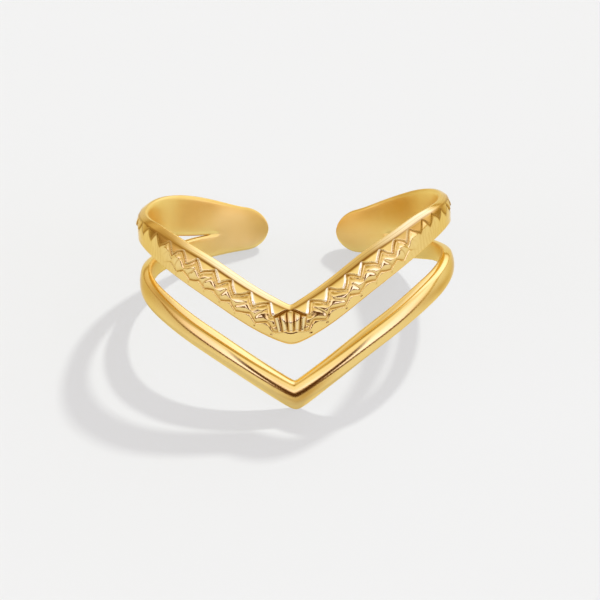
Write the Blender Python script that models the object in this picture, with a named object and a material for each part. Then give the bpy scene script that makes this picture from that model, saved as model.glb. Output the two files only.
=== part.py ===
"""Open finger ring with two V-shaped front bands that run back into two flat rounded pads.

The ring is one piece of metal. It is worked out in its own frame first, with the finger's axis along Z,
the points of both V bands toward -Y and the gap between the pads toward +Y. It is then laid down as it
rests by itself, on the point of the lower band and on the lower edge of each pad.
Lengths are in metres and angles in radians unless a name says degrees.
"""

import math

import bmesh
import bpy
import numpy as np

MM = 0.001
RING_NAME = "chevron_ring"

# The finger hole, and the wall of the metal at four places round it
INNER_RADIUS = 8.65 * MM
UPPER_FRONT_WALL = 1.2 * MM
LOWER_FRONT_WALL = 1.15 * MM
SIDE_WALL = 0.76 * MM
PAD_WALL = 0.62 * MM

# Where each band's side stands above or below the pads' middle line, and how far its V dips from there
UPPER_SIDE_RISE = 1.5 * MM
LOWER_SIDE_RISE = -1.57 * MM
UPPER_DROP = 5.2 * MM
LOWER_DROP = 6.2 * MM

# Upright heights of the bands and the pads, and the slit that parts the bands behind the sides
UPPER_HEIGHT = 2.5 * MM
LOWER_HEIGHT = 1.64 * MM
PAD_HEIGHT = 3.5 * MM
SLIT_DROP = 0.42 * MM
RIGHT_ARM_DROP = 0.5 * MM

# Angles from the front, round the finger: the right arm starts to bend down a little before the side,
# the relief's section is gone at the plain back, and the bands' seam is gone a little past the split
SIDE_DEGREES = 90.0
ARM_BEND_DEGREES = 81.0
PLAIN_BACK_DEGREES = 120.0
SPLIT_DEGREES = 141.0
SEAM_END_DEGREES = 153.6
TIP_DEGREES = 166.2
PAD_TIP_RADIUS = 1.3 * MM

# Half widths, round the finger, of the curve that each edge makes at the point of its V
UPPER_TOP_ROUNDING = 0.1 * MM
UPPER_BOTTOM_ROUNDING = 0.5 * MM
LOWER_TOP_ROUNDING = 0.08 * MM
LOWER_BOTTOM_ROUNDING = 0.3 * MM

# The cast zigzag on the upper band. Its pitch is measured along the wall of the finger hole, and its
# rise is a share of the band's height.
ZIGZAG_PITCH = 1.067 * MM
ZIGZAG_RISE = 0.11
ZIGZAG_END_DEGREES = 92.0
RIDGE_HEIGHT = 0.08 * MM
PLEAT_DEPTH = 0.15 * MM
PLEAT_FADE_DEGREES = (38.0, 62.0)
PLEAT_FADE_SHARE = 0.6

# How the metal's thickness is shared: the part of it that lies inside the line of the edges
EDGE_SHARE = 0.22

# Each row of a front section: share of the way from the point to the side, then for the upper and the
# lower band the share of its drop and the share of its height
FRONT_SECTIONS = (
    # way, upper dip, upper height, lower dip, lower height
    (0.000, 0.985, 1.00, 1.000, 1.15),
    (0.155, 0.740, 1.03, 0.760, 1.06),
    (0.310, 0.472, 1.00, 0.540, 1.01),
    (0.467, 0.266, 0.91, 0.362, 0.97),
    (0.620, 0.116, 0.83, 0.220, 0.97),
    (0.780, 0.033, 0.70, 0.117, 0.93),
    (0.940, 0.000, 0.64, 0.034, 0.85),
)

# Each row behind the side: share of the way from the side to the split, then the edges' heights as
# shares of half the pad's height
BACK_SECTIONS = (
    # way, upper top, upper bottom, lower top, lower bottom
    (0.31, 1.44, 0.24, -0.44, -1.08),
    (0.62, 1.42, 0.00, -0.30, -1.03),
)

# Each row of the pad: share of the way from the split to the tip, then the edges' heights as shares of
# half the pad's height
PAD_SECTIONS = (
    # way, top, bottom
    (0.00, 1.06, -1.00),
    (0.36, 0.79, -0.95),
    (0.63, 0.60, -0.92),
    (1.00, 0.47, -0.87),
)

# Rows across the upper band's outer face: share of its height, share of its wall, and how much of the
# zigzag the row follows
UPPER_ROWS = (
    # height, wall, zigzag
    (0.000, 0.00, 0.0),
    (0.025, 0.55, 0.0),
    (0.110, 0.90, 0.0),
    (0.215, 1.00, 0.2),
    (0.330, 0.98, 0.6),
    (0.460, 0.98, 0.9),
    (0.605, 1.00, 1.0),
    (0.815, 0.98, 0.0),
    (0.960, 0.45, 0.0),
    (1.000, 0.00, 0.0),
)
PLEATED_ROWS = (4, 5)
RIDGE_ROW = 6
BEVEL_ROW = 7

# Rows across the lower band's outer face and across each inner face, as shares of the height
LOWER_ROWS = (0.0, 0.04, 0.16, 0.34, 0.5, 0.66, 0.84, 0.96, 1.0)
INNER_ROWS = (0.0, 0.05, 0.5, 0.95, 1.0)
DOME_POWER = 2.3
FLAT_POWER = 4.0
TIP_POWER = 4.0

# Steps round the finger
STEPS_PER_ZIGZAG = 4
BACK_STEPS = 12
PAD_STEPS = 5
TIP_STEPS = 6

# How the ring is laid down: the lean that the search starts from, and its rounds
FIRST_LEAN = 0.4
REST_ROUNDS = 20
SMALL = 1e-9

GOLD_COLOUR = (0.83, 0.59, 0.26, 1.0)
GOLD_ROUGHNESS = 0.16
SMOOTH_UNDER_DEGREES = 40.0


def clear_scene():
    """Removes every object of the startup scene."""
    for old in list(bpy.data.objects):
        bpy.data.objects.remove(old, do_unlink=True)


def smooth_step(value):
    """0 below 0, 1 above 1, and a soft S between."""
    share = np.clip(value, 0.0, 1.0)
    return share * share * (3.0 - 2.0 * share)


def smooth_curve(knots, heights, places):
    """Natural cubic spline through the knots, read at the places."""
    knots = np.asarray(knots, float)
    heights = np.asarray(heights, float)
    gaps = np.diff(knots)
    slopes = np.diff(heights) / gaps
    count = len(knots)
    matrix = np.eye(count)
    right = np.zeros(count)
    for i in range(1, count - 1):
        matrix[i, i - 1] = gaps[i - 1]
        matrix[i, i] = 2.0 * (gaps[i - 1] + gaps[i])
        matrix[i, i + 1] = gaps[i]
        right[i] = 6.0 * (slopes[i] - slopes[i - 1])
    bends = np.linalg.solve(matrix, right)
    cell = np.clip(np.searchsorted(knots, places) - 1, 0, count - 2)
    after = places - knots[cell]
    before = knots[cell + 1] - places
    gap = gaps[cell]
    return (
        bends[cell] * before**3 / (6.0 * gap)
        + bends[cell + 1] * after**3 / (6.0 * gap)
        + (heights[cell] / gap - bends[cell] * gap / 6.0) * before
        + (heights[cell + 1] / gap - bends[cell + 1] * gap / 6.0) * after
    )


def edge_knots(edge):
    """Angles and heights that one edge of the metal runs through, on one side of the ring.

    The edge is "upper_top", "upper_bottom", "lower_top" or "lower_bottom".
    """
    side = math.radians(SIDE_DEGREES)
    split = math.radians(SPLIT_DEGREES)
    tip = math.radians(TIP_DEGREES)
    upper = edge.startswith("upper")
    sign = 0.5 if edge.endswith("top") else -0.5
    angles = []
    heights = []
    for way, upper_dip, upper_height, lower_dip, lower_height in FRONT_SECTIONS:
        if upper:
            height = UPPER_SIDE_RISE - UPPER_DROP * upper_dip + sign * UPPER_HEIGHT * upper_height
        else:
            height = LOWER_SIDE_RISE - LOWER_DROP * lower_dip + sign * LOWER_HEIGHT * lower_height
        angles.append(way * side)
        heights.append(height)
    column = ("upper_top", "upper_bottom", "lower_top", "lower_bottom").index(edge)
    half_pad = PAD_HEIGHT / 2.0
    for row in BACK_SECTIONS:
        angles.append(side + row[0] * (split - side))
        heights.append(row[1 + column] * half_pad)
    for way, top, bottom in PAD_SECTIONS:
        angles.append(split + way * (tip - split))
        if edge == "upper_top":
            heights.append(top * half_pad)
        elif edge == "lower_bottom":
            heights.append(bottom * half_pad)
        else:
            middle = (top + bottom) / 2.0 * half_pad
            heights.append(middle - SLIT_DROP * (1.0 - way))
    return angles, heights


def edge_height(edge, angle, rounding):
    """Height of an edge at an angle from the front, with the point of its V rounded."""
    soft = rounding / INNER_RADIUS
    bent = np.hypot(angle, soft)
    angles, heights = edge_knots(edge)
    return smooth_curve(angles, heights, bent)


def tip_share(angle):
    """How far into the rounded end of the pad an angle lies, 0 before it and 1 at the tip."""
    tip = math.radians(TIP_DEGREES)
    length = PAD_TIP_RADIUS / INNER_RADIUS
    return np.clip((angle - (tip - length)) / length, 0.0, 1.0)


def outlines(angle):
    """The heights of the four edges at an angle, with the pad's end drawn in round."""
    upper_top = edge_height("upper_top", angle, UPPER_TOP_ROUNDING)
    upper_bottom = edge_height("upper_bottom", angle, UPPER_BOTTOM_ROUNDING)
    lower_top = edge_height("lower_top", angle, LOWER_TOP_ROUNDING)
    lower_bottom = edge_height("lower_bottom", angle, LOWER_BOTTOM_ROUNDING)
    middle = (upper_top + lower_bottom) / 2.0
    narrowing = np.sqrt(1.0 - tip_share(angle) ** 2)
    upper_top = middle + (upper_top - middle) * narrowing
    lower_bottom = middle + (lower_bottom - middle) * narrowing
    upper_bottom = np.where(
        tip_share(angle) > 0.0, middle + (upper_bottom - middle) * narrowing, upper_bottom
    )
    lower_top = np.where(angle >= math.radians(SPLIT_DEGREES), upper_bottom, lower_top)
    return upper_top, upper_bottom, lower_top, lower_bottom


def wall(front_wall, angle):
    """Thickness of the metal, from the front's at the point to the side's, and the pad's from the split."""
    side = math.radians(SIDE_DEGREES)
    split = math.radians(SPLIT_DEGREES)
    at_front = front_wall + (SIDE_WALL - front_wall) * smooth_step(angle / side)
    thick = at_front + (PAD_WALL - SIDE_WALL) * smooth_step((angle - side) / (split - side))
    return thick * (1.0 - tip_share(angle) ** TIP_POWER) ** (1.0 / TIP_POWER)


def bulge(share, power):
    """Rounded section: 0 at both edges of the height and 1 in the middle, flatter as the power grows."""
    return (1.0 - np.abs(2.0 * share - 1.0) ** power) ** (1.0 / power)


def zigzag(angle):
    """Triangle wave along the band: 1 at its highs, one of which is at the front, and -1 at its lows."""
    phase = angle * INNER_RADIUS / ZIGZAG_PITCH
    return 1.0 - 4.0 * np.abs(phase - np.round(phase))


def relief_share(angle):
    """1 along the decorated front, and 0 behind the sides."""
    end = math.radians(ZIGZAG_END_DEGREES)
    return 1.0 - smooth_step((angle - end) / (ZIGZAG_PITCH / INNER_RADIUS))


def pleats(angle):
    """Depth of the pleats: they lie between the zigzag's highs and lows, and fade at the sides."""
    start, stop = (math.radians(degrees) for degrees in PLEAT_FADE_DEGREES)
    fade = 1.0 - PLEAT_FADE_SHARE * smooth_step((angle - start) / (stop - start))
    return PLEAT_DEPTH * fade * (1.0 - np.abs(zigzag(angle)))


def joined(angle):
    """0 up to the split, and 1 where the two bands have become one flat pad."""
    split = math.radians(SPLIT_DEGREES)
    seam_end = math.radians(SEAM_END_DEGREES)
    return smooth_step((angle - split) / (seam_end - split))


def pad_share(angle, height):
    """Share of the way up from the ring's lowest edge to its highest one at which a height lies."""
    upper_top, _, _, lower_bottom = outlines(angle)
    return np.clip((height - lower_bottom) / np.maximum(upper_top - lower_bottom, SMALL), 0.0, 1.0)


def outer_radius(angle, height, front_wall, section):
    """Radius of an outer face: the band's own section, which becomes the pad's beyond the split."""
    blend = joined(angle)
    own = section * (1.0 - blend) + bulge(pad_share(angle, height), FLAT_POWER) * blend
    thick = wall(front_wall, angle)
    return INNER_RADIUS + EDGE_SHARE * thick + (1.0 - EDGE_SHARE) * thick * own


def inner_radius(angle, height, share, front_wall):
    """Radius of an inner face, which is flat with eased edges."""
    blend = joined(angle)
    across = pad_share(angle, height)
    own = bulge(share, FLAT_POWER) * (1.0 - blend) + bulge(across, FLAT_POWER) * blend
    return INNER_RADIUS + EDGE_SHARE * wall(front_wall, angle) * (1.0 - own)


def upper_outer(angle, row):
    """Height and radius of one row of the upper band's outer face, with its relief."""
    upper_top, upper_bottom, _, _ = outlines(angle)
    share, wall_share, follows = UPPER_ROWS[row]
    relief = relief_share(angle)
    drawn = share + ZIGZAG_RISE * follows * zigzag(angle) * relief
    height = upper_bottom + drawn * (upper_top - upper_bottom)
    side = math.radians(SIDE_DEGREES)
    back = smooth_step((angle - side) / (math.radians(PLAIN_BACK_DEGREES) - side))
    section = wall_share + (bulge(share, FLAT_POWER) - wall_share) * back
    radius = outer_radius(angle, height, UPPER_FRONT_WALL, section)
    if row in PLEATED_ROWS:
        radius -= relief * pleats(angle)
    elif row in (RIDGE_ROW, BEVEL_ROW):
        radius += relief * RIDGE_HEIGHT
    return height, radius


def lower_outer(angle, row):
    """Height and radius of one row of the lower band's outer face."""
    _, _, lower_top, lower_bottom = outlines(angle)
    share = LOWER_ROWS[row]
    height = lower_bottom + share * (lower_top - lower_bottom)
    return height, outer_radius(angle, height, LOWER_FRONT_WALL, bulge(share, DOME_POWER))


def inner_face(angle, row, upper):
    """Height and radius of one row of an inner face."""
    upper_top, upper_bottom, lower_top, lower_bottom = outlines(angle)
    low, high = (upper_bottom, upper_top) if upper else (lower_bottom, lower_top)
    share = INNER_ROWS[row]
    height = low + share * (high - low)
    front_wall = UPPER_FRONT_WALL if upper else LOWER_FRONT_WALL
    return height, inner_radius(angle, height, share, front_wall)


def arm_sag(turn):
    """How much lower the metal lies on the right arm, which is bent a little down behind the side."""
    start = math.radians(ARM_BEND_DEGREES)
    split = math.radians(SPLIT_DEGREES)
    return RIGHT_ARM_DROP * smooth_step((turn - start) / (split - start))


def place(turn, height, radius):
    """Point at a signed turn round the finger, in the ring's own frame."""
    return (radius * math.sin(turn), -radius * math.cos(turn), height - arm_sag(turn))


def station_angles():
    """Angles of the stations on one side, from the front to the last one before the tip."""
    quarter = ZIGZAG_PITCH / INNER_RADIUS / STEPS_PER_ZIGZAG
    end = math.radians(ZIGZAG_END_DEGREES)
    split = math.radians(SPLIT_DEGREES)
    tip = math.radians(TIP_DEGREES)
    round_start = tip - PAD_TIP_RADIUS / INNER_RADIUS
    front = [quarter * i for i in range(round(end / quarter) + STEPS_PER_ZIGZAG + 1)]
    back = list(np.linspace(front[-1], split, BACK_STEPS + 1)[1:])
    pad = list(np.linspace(split, round_start, PAD_STEPS + 1)[1:])
    turns = [math.pi / 2.0 * i / TIP_STEPS for i in range(1, TIP_STEPS)]
    round_end = [round_start + (tip - round_start) * math.sin(turn) for turn in turns]
    return front + back + pad + round_end


def build_mesh():
    """The ring as one closed bmesh in its own frame."""
    angles = station_angles()
    turns = [-angle for angle in reversed(angles[1:])] + angles
    split = math.radians(SPLIT_DEGREES)
    mesh = bmesh.new()
    strips = {"upper_outer": [], "lower_outer": [], "upper_inner": [], "lower_inner": []}
    for turn in turns:
        angle = abs(turn)
        add = [mesh.verts.new(place(turn, *upper_outer(angle, row))) for row in range(len(UPPER_ROWS))]
        low = [mesh.verts.new(place(turn, *lower_outer(angle, row))) for row in range(len(LOWER_ROWS))]
        upper_in = [add[0]]
        lower_in = [low[0]]
        for row in range(1, len(INNER_ROWS) - 1):
            upper_in.append(mesh.verts.new(place(turn, *inner_face(angle, row, True))))
            lower_in.append(mesh.verts.new(place(turn, *inner_face(angle, row, False))))
        upper_in.append(add[-1])
        lower_in.append(low[-1])
        if angle >= split - SMALL:
            mesh.verts.remove(low[-1])
            low[-1] = add[0]
            lower_in[-1] = add[0]
        if angle > split + SMALL:
            shared = mesh.verts.new(place(turn, *inner_face(angle, 0, True)))
            upper_in[0] = shared
            lower_in[-1] = shared
        strips["upper_outer"].append(add)
        strips["lower_outer"].append(low)
        strips["upper_inner"].append(upper_in)
        strips["lower_inner"].append(lower_in)
    for name, rows in strips.items():
        outward = name.endswith("outer")
        for here, there in zip(rows, rows[1:]):
            for i in range(len(here) - 1):
                corners = (here[i], there[i], there[i + 1], here[i + 1])
                mesh.faces.new(corners if outward else corners[::-1])
    close_tips(mesh, strips)
    return mesh


def close_tips(mesh, strips):
    """Draws the last station of each pad together in one point."""
    for turn, end in ((-math.radians(TIP_DEGREES), 0), (math.radians(TIP_DEGREES), -1)):
        height = float(outlines(abs(turn))[0])
        point = mesh.verts.new(place(turn, height, INNER_RADIUS))
        for name, rows in strips.items():
            line = rows[end]
            outward = name.endswith("outer") == (end == -1)
            for first, second in zip(line, line[1:]):
                corners = (first, point, second)
                mesh.faces.new(corners if outward else corners[::-1])


def rest_rotation(points):
    """Rotation that lays the ring on the point of its lower band and on its two pads.

    The floor's plane goes through the lowest point of each of the three, which depend on the plane, so it
    is found again until it stays.
    """
    pads = points[:, 1] > 0.0
    groups = (~pads, pads & (points[:, 0] < 0.0), pads & (points[:, 0] > 0.0))
    normal = np.array([0.0, -math.sin(FIRST_LEAN), math.cos(FIRST_LEAN)])
    for _ in range(REST_ROUNDS):
        feet = []
        for group in groups:
            members = points[group]
            feet.append(members[np.argmin(members @ normal)])
        normal = np.cross(feet[2] - feet[0], feet[1] - feet[0])
        normal /= np.linalg.norm(normal)
        normal *= math.copysign(1.0, normal[2])
    forward = np.array([0.0, 1.0, 0.0])
    forward -= normal * (forward @ normal)
    forward /= np.linalg.norm(forward)
    return np.array([np.cross(forward, normal), forward, normal])


def gold():
    """Polished warm yellow gold."""
    material = bpy.data.materials.new("polished_gold")
    material.use_nodes = True
    shader = material.node_tree.nodes["Principled BSDF"]
    shader.inputs["Base Color"].default_value = GOLD_COLOUR
    shader.inputs["Metallic"].default_value = 1.0
    shader.inputs["Roughness"].default_value = GOLD_ROUGHNESS
    material.diffuse_color = GOLD_COLOUR
    return material


def main():
    """Builds the ring and lays it down with its box standing on the origin."""
    clear_scene()
    mesh = build_mesh()
    points = np.array([vertex.co for vertex in mesh.verts])
    laid = points @ rest_rotation(points).T
    low = laid.min(axis=0)
    high = laid.max(axis=0)
    laid -= np.array([(low[0] + high[0]) / 2.0, (low[1] + high[1]) / 2.0, low[2]])
    for vertex, spot in zip(mesh.verts, laid):
        vertex.co = spot
    data = bpy.data.meshes.new(RING_NAME)
    mesh.to_mesh(data)
    mesh.free()
    data.materials.append(gold())
    data.shade_smooth()
    data.set_sharp_from_angle(angle=math.radians(SMOOTH_UNDER_DEGREES))
    ring = bpy.data.objects.new(RING_NAME, data)
    bpy.context.scene.collection.objects.link(ring)


main()
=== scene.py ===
"""Looks of an open finger ring with two V-shaped front bands: its worked gold surface, floor, light, camera.

The ring is one closed surface on grids of numpy arrays. It is worked out in the ring's own frame, with
the finger's axis along Z, the points of the V bands toward -Y and the gap between the pads toward +Y. It
is then laid down on the point of the lower band and on both pads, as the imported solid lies, and stands
for that solid. Lengths are in metres and angles in radians unless a name says degrees.
"""

import logging
import math
from dataclasses import dataclass, field
from enum import Enum

import bmesh
import bpy
import numpy as np
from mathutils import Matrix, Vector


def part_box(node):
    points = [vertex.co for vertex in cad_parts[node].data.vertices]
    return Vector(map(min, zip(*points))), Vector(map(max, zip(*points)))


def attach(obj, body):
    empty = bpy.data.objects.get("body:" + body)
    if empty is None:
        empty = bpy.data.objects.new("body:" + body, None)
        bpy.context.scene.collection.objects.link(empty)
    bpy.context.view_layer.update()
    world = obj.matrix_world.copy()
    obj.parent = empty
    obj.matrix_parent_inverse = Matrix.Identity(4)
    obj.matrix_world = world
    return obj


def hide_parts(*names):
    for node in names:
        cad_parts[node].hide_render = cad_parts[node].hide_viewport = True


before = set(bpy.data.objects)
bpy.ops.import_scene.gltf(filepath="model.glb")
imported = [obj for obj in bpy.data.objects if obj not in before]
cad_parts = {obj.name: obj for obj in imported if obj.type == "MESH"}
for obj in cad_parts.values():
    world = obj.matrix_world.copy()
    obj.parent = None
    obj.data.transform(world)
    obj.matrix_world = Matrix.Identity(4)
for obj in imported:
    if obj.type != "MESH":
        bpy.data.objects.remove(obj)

MM = 0.001
LOG = logging.getLogger("ring")
SOLID = "chevron_ring"
PHOTO_SIDE = 600
DEEPEST_SHADE = 0.9
WHITE = (1.0, 1.0, 1.0, 1.0)

Array = np.ndarray
Socket = bpy.types.NodeSocket
Source = Socket | tuple[float, ...]
Rows = tuple[tuple[float, ...], ...]


class Edge(Enum):
    """The four long edges of the metal, from the top down."""

    UPPER_TOP = 0
    UPPER_BOTTOM = 1
    LOWER_TOP = 2
    LOWER_BOTTOM = 3


class Face(Enum):
    """Which way a strip of the surface looks."""

    OUTWARD = 0
    INWARD = 1


def smooth_step(value: Array) -> Array:
    """0 below 0, 1 above 1, and the cubic 3s^2 - 2s^3 between."""
    share = np.clip(value, 0.0, 1.0)
    return share * share * (3.0 - 2.0 * share)


def rounded(share: Array, power: float) -> Array:
    """Superellipse across a section: 0 at shares 0 and 1, 1 halfway, and flatter as the power grows."""
    return np.maximum(1.0 - np.abs(2.0 * share - 1.0) ** power, 0.0) ** (1.0 / power)


def corner(share: Array, power: float) -> Array:
    """Rounded corner: 1 - (1 - s)^p to the power 1/p, with s the share kept between 0 and 1."""
    return (1.0 - (1.0 - np.clip(share, 0.0, 1.0)) ** power) ** (1.0 / power)


def eased(count: int) -> Array:
    """Shares from 0 to 1 that lie close together at both ends, as half a cosine wave does."""
    return 0.5 - 0.5 * np.cos(np.pi * np.linspace(0.0, 1.0, count))


def bell(distance: Array, width: float) -> Array:
    """The bell curve of a distance: 1 at 0, and e to the -1 at the width."""
    return np.exp(-((distance / width) ** 2))


def between(rows: Rows, turn: Array) -> Array:
    """Rows of degrees and values, read at signed angles in a straight line from each row to the next."""
    degrees, values = np.array(rows).T
    return np.interp(np.degrees(turn), degrees, values)


def smooth_curve(knots: Array, heights: Array, places: Array) -> Array:
    """Natural cubic spline.

    Each span is the cubic whose second derivative runs straight between the bends at its two knots, and
    the bends are those that keep the slope the same on both sides of every knot.

    Args:
        knots: Rising places that the curve runs through.
        heights: Height at each knot.
        places: Where the curve is read.

    Returns:
        Heights at the places, in their shape.
    """
    gaps = np.diff(knots)
    slopes = np.diff(heights) / gaps
    matrix = np.eye(len(knots))
    inner = np.arange(1, len(knots) - 1)
    matrix[inner, inner - 1] = gaps[:-1]
    matrix[inner, inner] = 2.0 * (gaps[:-1] + gaps[1:])
    matrix[inner, inner + 1] = gaps[1:]
    right = np.zeros(len(knots))
    right[1:-1] = 6.0 * np.diff(slopes)
    bends = np.linalg.solve(matrix, right)
    cell = np.clip(np.searchsorted(knots, places) - 1, 0, len(knots) - 2)
    after = places - knots[cell]
    before = knots[cell + 1] - places
    gap = gaps[cell]
    straight = (heights[cell] * before + heights[cell + 1] * after) / gap
    low = bends[cell] * (before**3 / gap - gap * before)
    high = bends[cell + 1] * (after**3 / gap - gap * after)
    return straight + (low + high) / 6.0


@dataclass(frozen=True)
class RingForm:
    """The ring's own shape, which every strip of its surface follows."""

    inner_radius: float = 8.65 * MM
    upper_front_wall: float = 1.2 * MM
    lower_front_wall: float = 1.15 * MM
    side_wall: float = 0.76 * MM
    pad_wall: float = 0.62 * MM
    upper_side_rise: float = 1.5 * MM
    lower_side_rise: float = -1.57 * MM
    upper_drop: float = 5.2 * MM
    lower_drop: float = 6.2 * MM
    upper_height: float = 2.5 * MM
    lower_height: float = 1.64 * MM
    pad_height: float = 3.5 * MM
    slit_drop: float = 0.42 * MM
    right_arm_drop: float = 0.5 * MM
    pad_tip_radius: float = 1.3 * MM
    side: float = math.radians(90.0)
    arm_bend: float = math.radians(81.0)
    plain_back: float = math.radians(120.0)
    split: float = math.radians(141.0)
    seam_end: float = math.radians(145.0)
    tip: float = math.radians(166.2)
    # Share of the wall that lies inward of the edges, where the outer and the inner faces meet
    edge_share: float = 0.22
    tip_power: float = 4.0
    outer_power: float = 4.0
    # Least height in a division, and the decimals that shares are rounded to
    least_height: float = 1e-9
    share_digits: int = 12
    # How far each edge's point at the front is rounded
    roundings: tuple[float, ...] = (0.1 * MM, 0.5 * MM, 0.08 * MM, 0.3 * MM)
    # Share of the way to the side, then dip and height of the upper band and of the lower band
    front_sections: Rows = (
        (0.000, 0.985, 1.00, 1.000, 1.15),
        (0.155, 0.740, 1.03, 0.760, 1.06),
        (0.310, 0.472, 1.00, 0.540, 1.01),
        (0.467, 0.266, 0.91, 0.362, 0.97),
        (0.620, 0.116, 0.83, 0.220, 0.97),
        (0.780, 0.033, 0.70, 0.117, 0.93),
        (0.940, 0.000, 0.64, 0.034, 0.85),
    )
    # Share of the way from the side to the split, then each edge as a share of half the pad's height
    back_sections: Rows = (
        (0.31, 1.44, 0.24, -0.44, -1.08),
        (0.62, 1.42, 0.00, -0.30, -1.03),
    )
    # Share of the way from the split to the tip, then the pad's top and bottom
    pad_sections: Rows = (
        (0.00, 1.06, -1.00),
        (0.36, 0.79, -0.95),
        (0.63, 0.60, -0.92),
        (1.00, 0.47, -0.87),
    )

    def knots(self, edge: Edge) -> tuple[Array, Array]:
        """Angles and heights that an edge runs through on one side of the ring.

        Args:
            edge: Which edge.

        Returns:
            Rising angles, and the heights at them.
        """
        front = np.array(self.front_sections)
        back = np.array(self.back_sections)
        pad = np.array(self.pad_sections)
        half_pad = self.pad_height / 2.0
        sign = 0.5 if edge in (Edge.UPPER_TOP, Edge.LOWER_TOP) else -0.5
        if edge in (Edge.UPPER_TOP, Edge.UPPER_BOTTOM):
            heights = self.upper_side_rise - self.upper_drop * front[:, 1]
            heights = heights + sign * self.upper_height * front[:, 2]
        else:
            heights = self.lower_side_rise - self.lower_drop * front[:, 3]
            heights = heights + sign * self.lower_height * front[:, 4]
        if edge is Edge.UPPER_TOP:
            behind = pad[:, 1] * half_pad
        elif edge is Edge.LOWER_BOTTOM:
            behind = pad[:, 2] * half_pad
        else:
            behind = (pad[:, 1] + pad[:, 2]) / 2.0 * half_pad - self.slit_drop * (1.0 - pad[:, 0])
        angles = np.concatenate([
            front[:, 0] * self.side,
            self.side + back[:, 0] * (self.split - self.side),
            self.split + pad[:, 0] * (self.tip - self.split),
        ])
        return angles, np.concatenate([heights, back[:, 1 + edge.value] * half_pad, behind])

    def edge_height(self, edge: Edge, angle: Array) -> Array:
        """Height of an edge, read at the square root of angle^2 + rounding^2, which rounds its point.

        Args:
            edge: Which edge.
            angle: Angles from the front, without sign.

        Returns:
            Heights at the angles.
        """
        soft = self.roundings[edge.value] / self.inner_radius
        angles, heights = self.knots(edge)
        return smooth_curve(angles, heights, np.hypot(angle, soft))

    def tip_share(self, angle: Array) -> Array:
        """How far into the rounded end of the pad an angle lies, 0 before it and 1 at the tip."""
        length = self.pad_tip_radius / self.inner_radius
        return np.clip((angle - (self.tip - length)) / length, 0.0, 1.0)

    def outlines(self, angle: Array) -> tuple[Array, Array, Array, Array]:
        """Heights of the four edges, drawn in round at the pad's end as a circle is.

        Args:
            angle: Angles from the front, without sign.

        Returns:
            Heights of the upper band's top and bottom and of the lower band's top and bottom.
        """
        top, middle_top, middle_low, bottom = (self.edge_height(edge, angle) for edge in Edge)
        middle = (top + bottom) / 2.0
        narrowing = np.sqrt(np.maximum(1.0 - self.tip_share(angle) ** 2, 0.0))
        top = middle + (top - middle) * narrowing
        bottom = middle + (bottom - middle) * narrowing
        drawn_in = middle + (middle_top - middle) * narrowing
        middle_top = np.where(self.tip_share(angle) > 0.0, drawn_in, middle_top)
        middle_low = np.where(angle >= self.split, middle_top, middle_low)
        return top, middle_top, middle_low, bottom

    def wall(self, front_wall: float, angle: Array) -> Array:
        """Thickness: from the front's to the side's and the pad's, drawn in to nothing at the tip.

        Args:
            front_wall: Thickness at the front.
            angle: Angles from the front, without sign.

        Returns:
            Thickness at the angles.
        """
        thick = front_wall + (self.side_wall - front_wall) * smooth_step(angle / self.side)
        behind = smooth_step((angle - self.side) / (self.split - self.side))
        thick = thick + (self.pad_wall - self.side_wall) * behind
        power = self.tip_power
        return thick * np.maximum(1.0 - self.tip_share(angle) ** power, 0.0) ** (1.0 / power)

    def plain(self, angle: Array) -> Array:
        """0 up to the side, and 1 where the bands behind it have grown plain and evenly rounded."""
        return smooth_step((angle - self.side) / (self.plain_back - self.side))

    def joined(self, angle: Array) -> Array:
        """0 up to the split, and 1 where the two bands have become one flat pad."""
        return smooth_step((angle - self.split) / (self.seam_end - self.split))

    def pad_share(self, angle: Array, height: Array) -> Array:
        """Share of the way up from the ring's lowest edge to its highest one, exact at both edges.

        Args:
            angle: Angles from the front, without sign.
            height: Heights at them.

        Returns:
            Shares from 0 to 1, rounded so that strips that meet give the same one.
        """
        top, _, _, bottom = self.outlines(angle)
        share = (height - bottom) / np.maximum(top - bottom, self.least_height)
        return np.clip(np.round(share, self.share_digits), 0.0, 1.0)

    def outer_radius(
        self, angle: Array, height: Array, share: Array, section: Array, front_wall: float
    ) -> Array:
        """Radius of a band's outer face: its own section in front, a round one behind, then the pad's.

        It is the inner radius plus the wall times e + (1 - e) s, with e the edges' share and s the section.

        Args:
            angle: Column of angles from the front, without sign.
            height: Heights of the grid.
            share: Shares of the band's height.
            section: The band's own section at them, as shares of the wall.
            front_wall: Thickness at the front.

        Returns:
            Radii of the grid.
        """
        own = section + (rounded(share, self.outer_power) - section) * self.plain(angle)
        blend = self.joined(angle)
        own = own * (1.0 - blend) + rounded(self.pad_share(angle, height), self.outer_power) * blend
        thick = self.wall(front_wall, angle)
        return self.inner_radius + thick * (self.edge_share + (1.0 - self.edge_share) * own)

    def arm_sag(self, turn: Array) -> Array:
        """How much lower the metal lies on the right arm, which is bent a little down behind the side."""
        return self.right_arm_drop * smooth_step((turn - self.arm_bend) / (self.split - self.arm_bend))

    def place(self, turn: Array, height: Array, radius: Array) -> Array:
        """Points at signed turns round the finger: (r sin t, -r cos t, height less the arm's sag).

        Args:
            turn: Column of signed angles.
            height: Heights of the grid.
            radius: Radii of the grid.

        Returns:
            Points in the ring's own frame.
        """
        across = np.broadcast_to(turn, radius.shape)
        return np.stack([
            radius * np.sin(across),
            -radius * np.cos(across),
            height - self.arm_sag(across),
        ], axis=-1)


@dataclass(frozen=True)
class Strip:
    """One strip of the surface: grids of stations round the finger by rows across the metal."""

    height: Array
    radius: Array
    # Painted shade and painted highlight at each place, each from 0 to 1
    painted_shade: Array
    bright: Array
    face: Face


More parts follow.
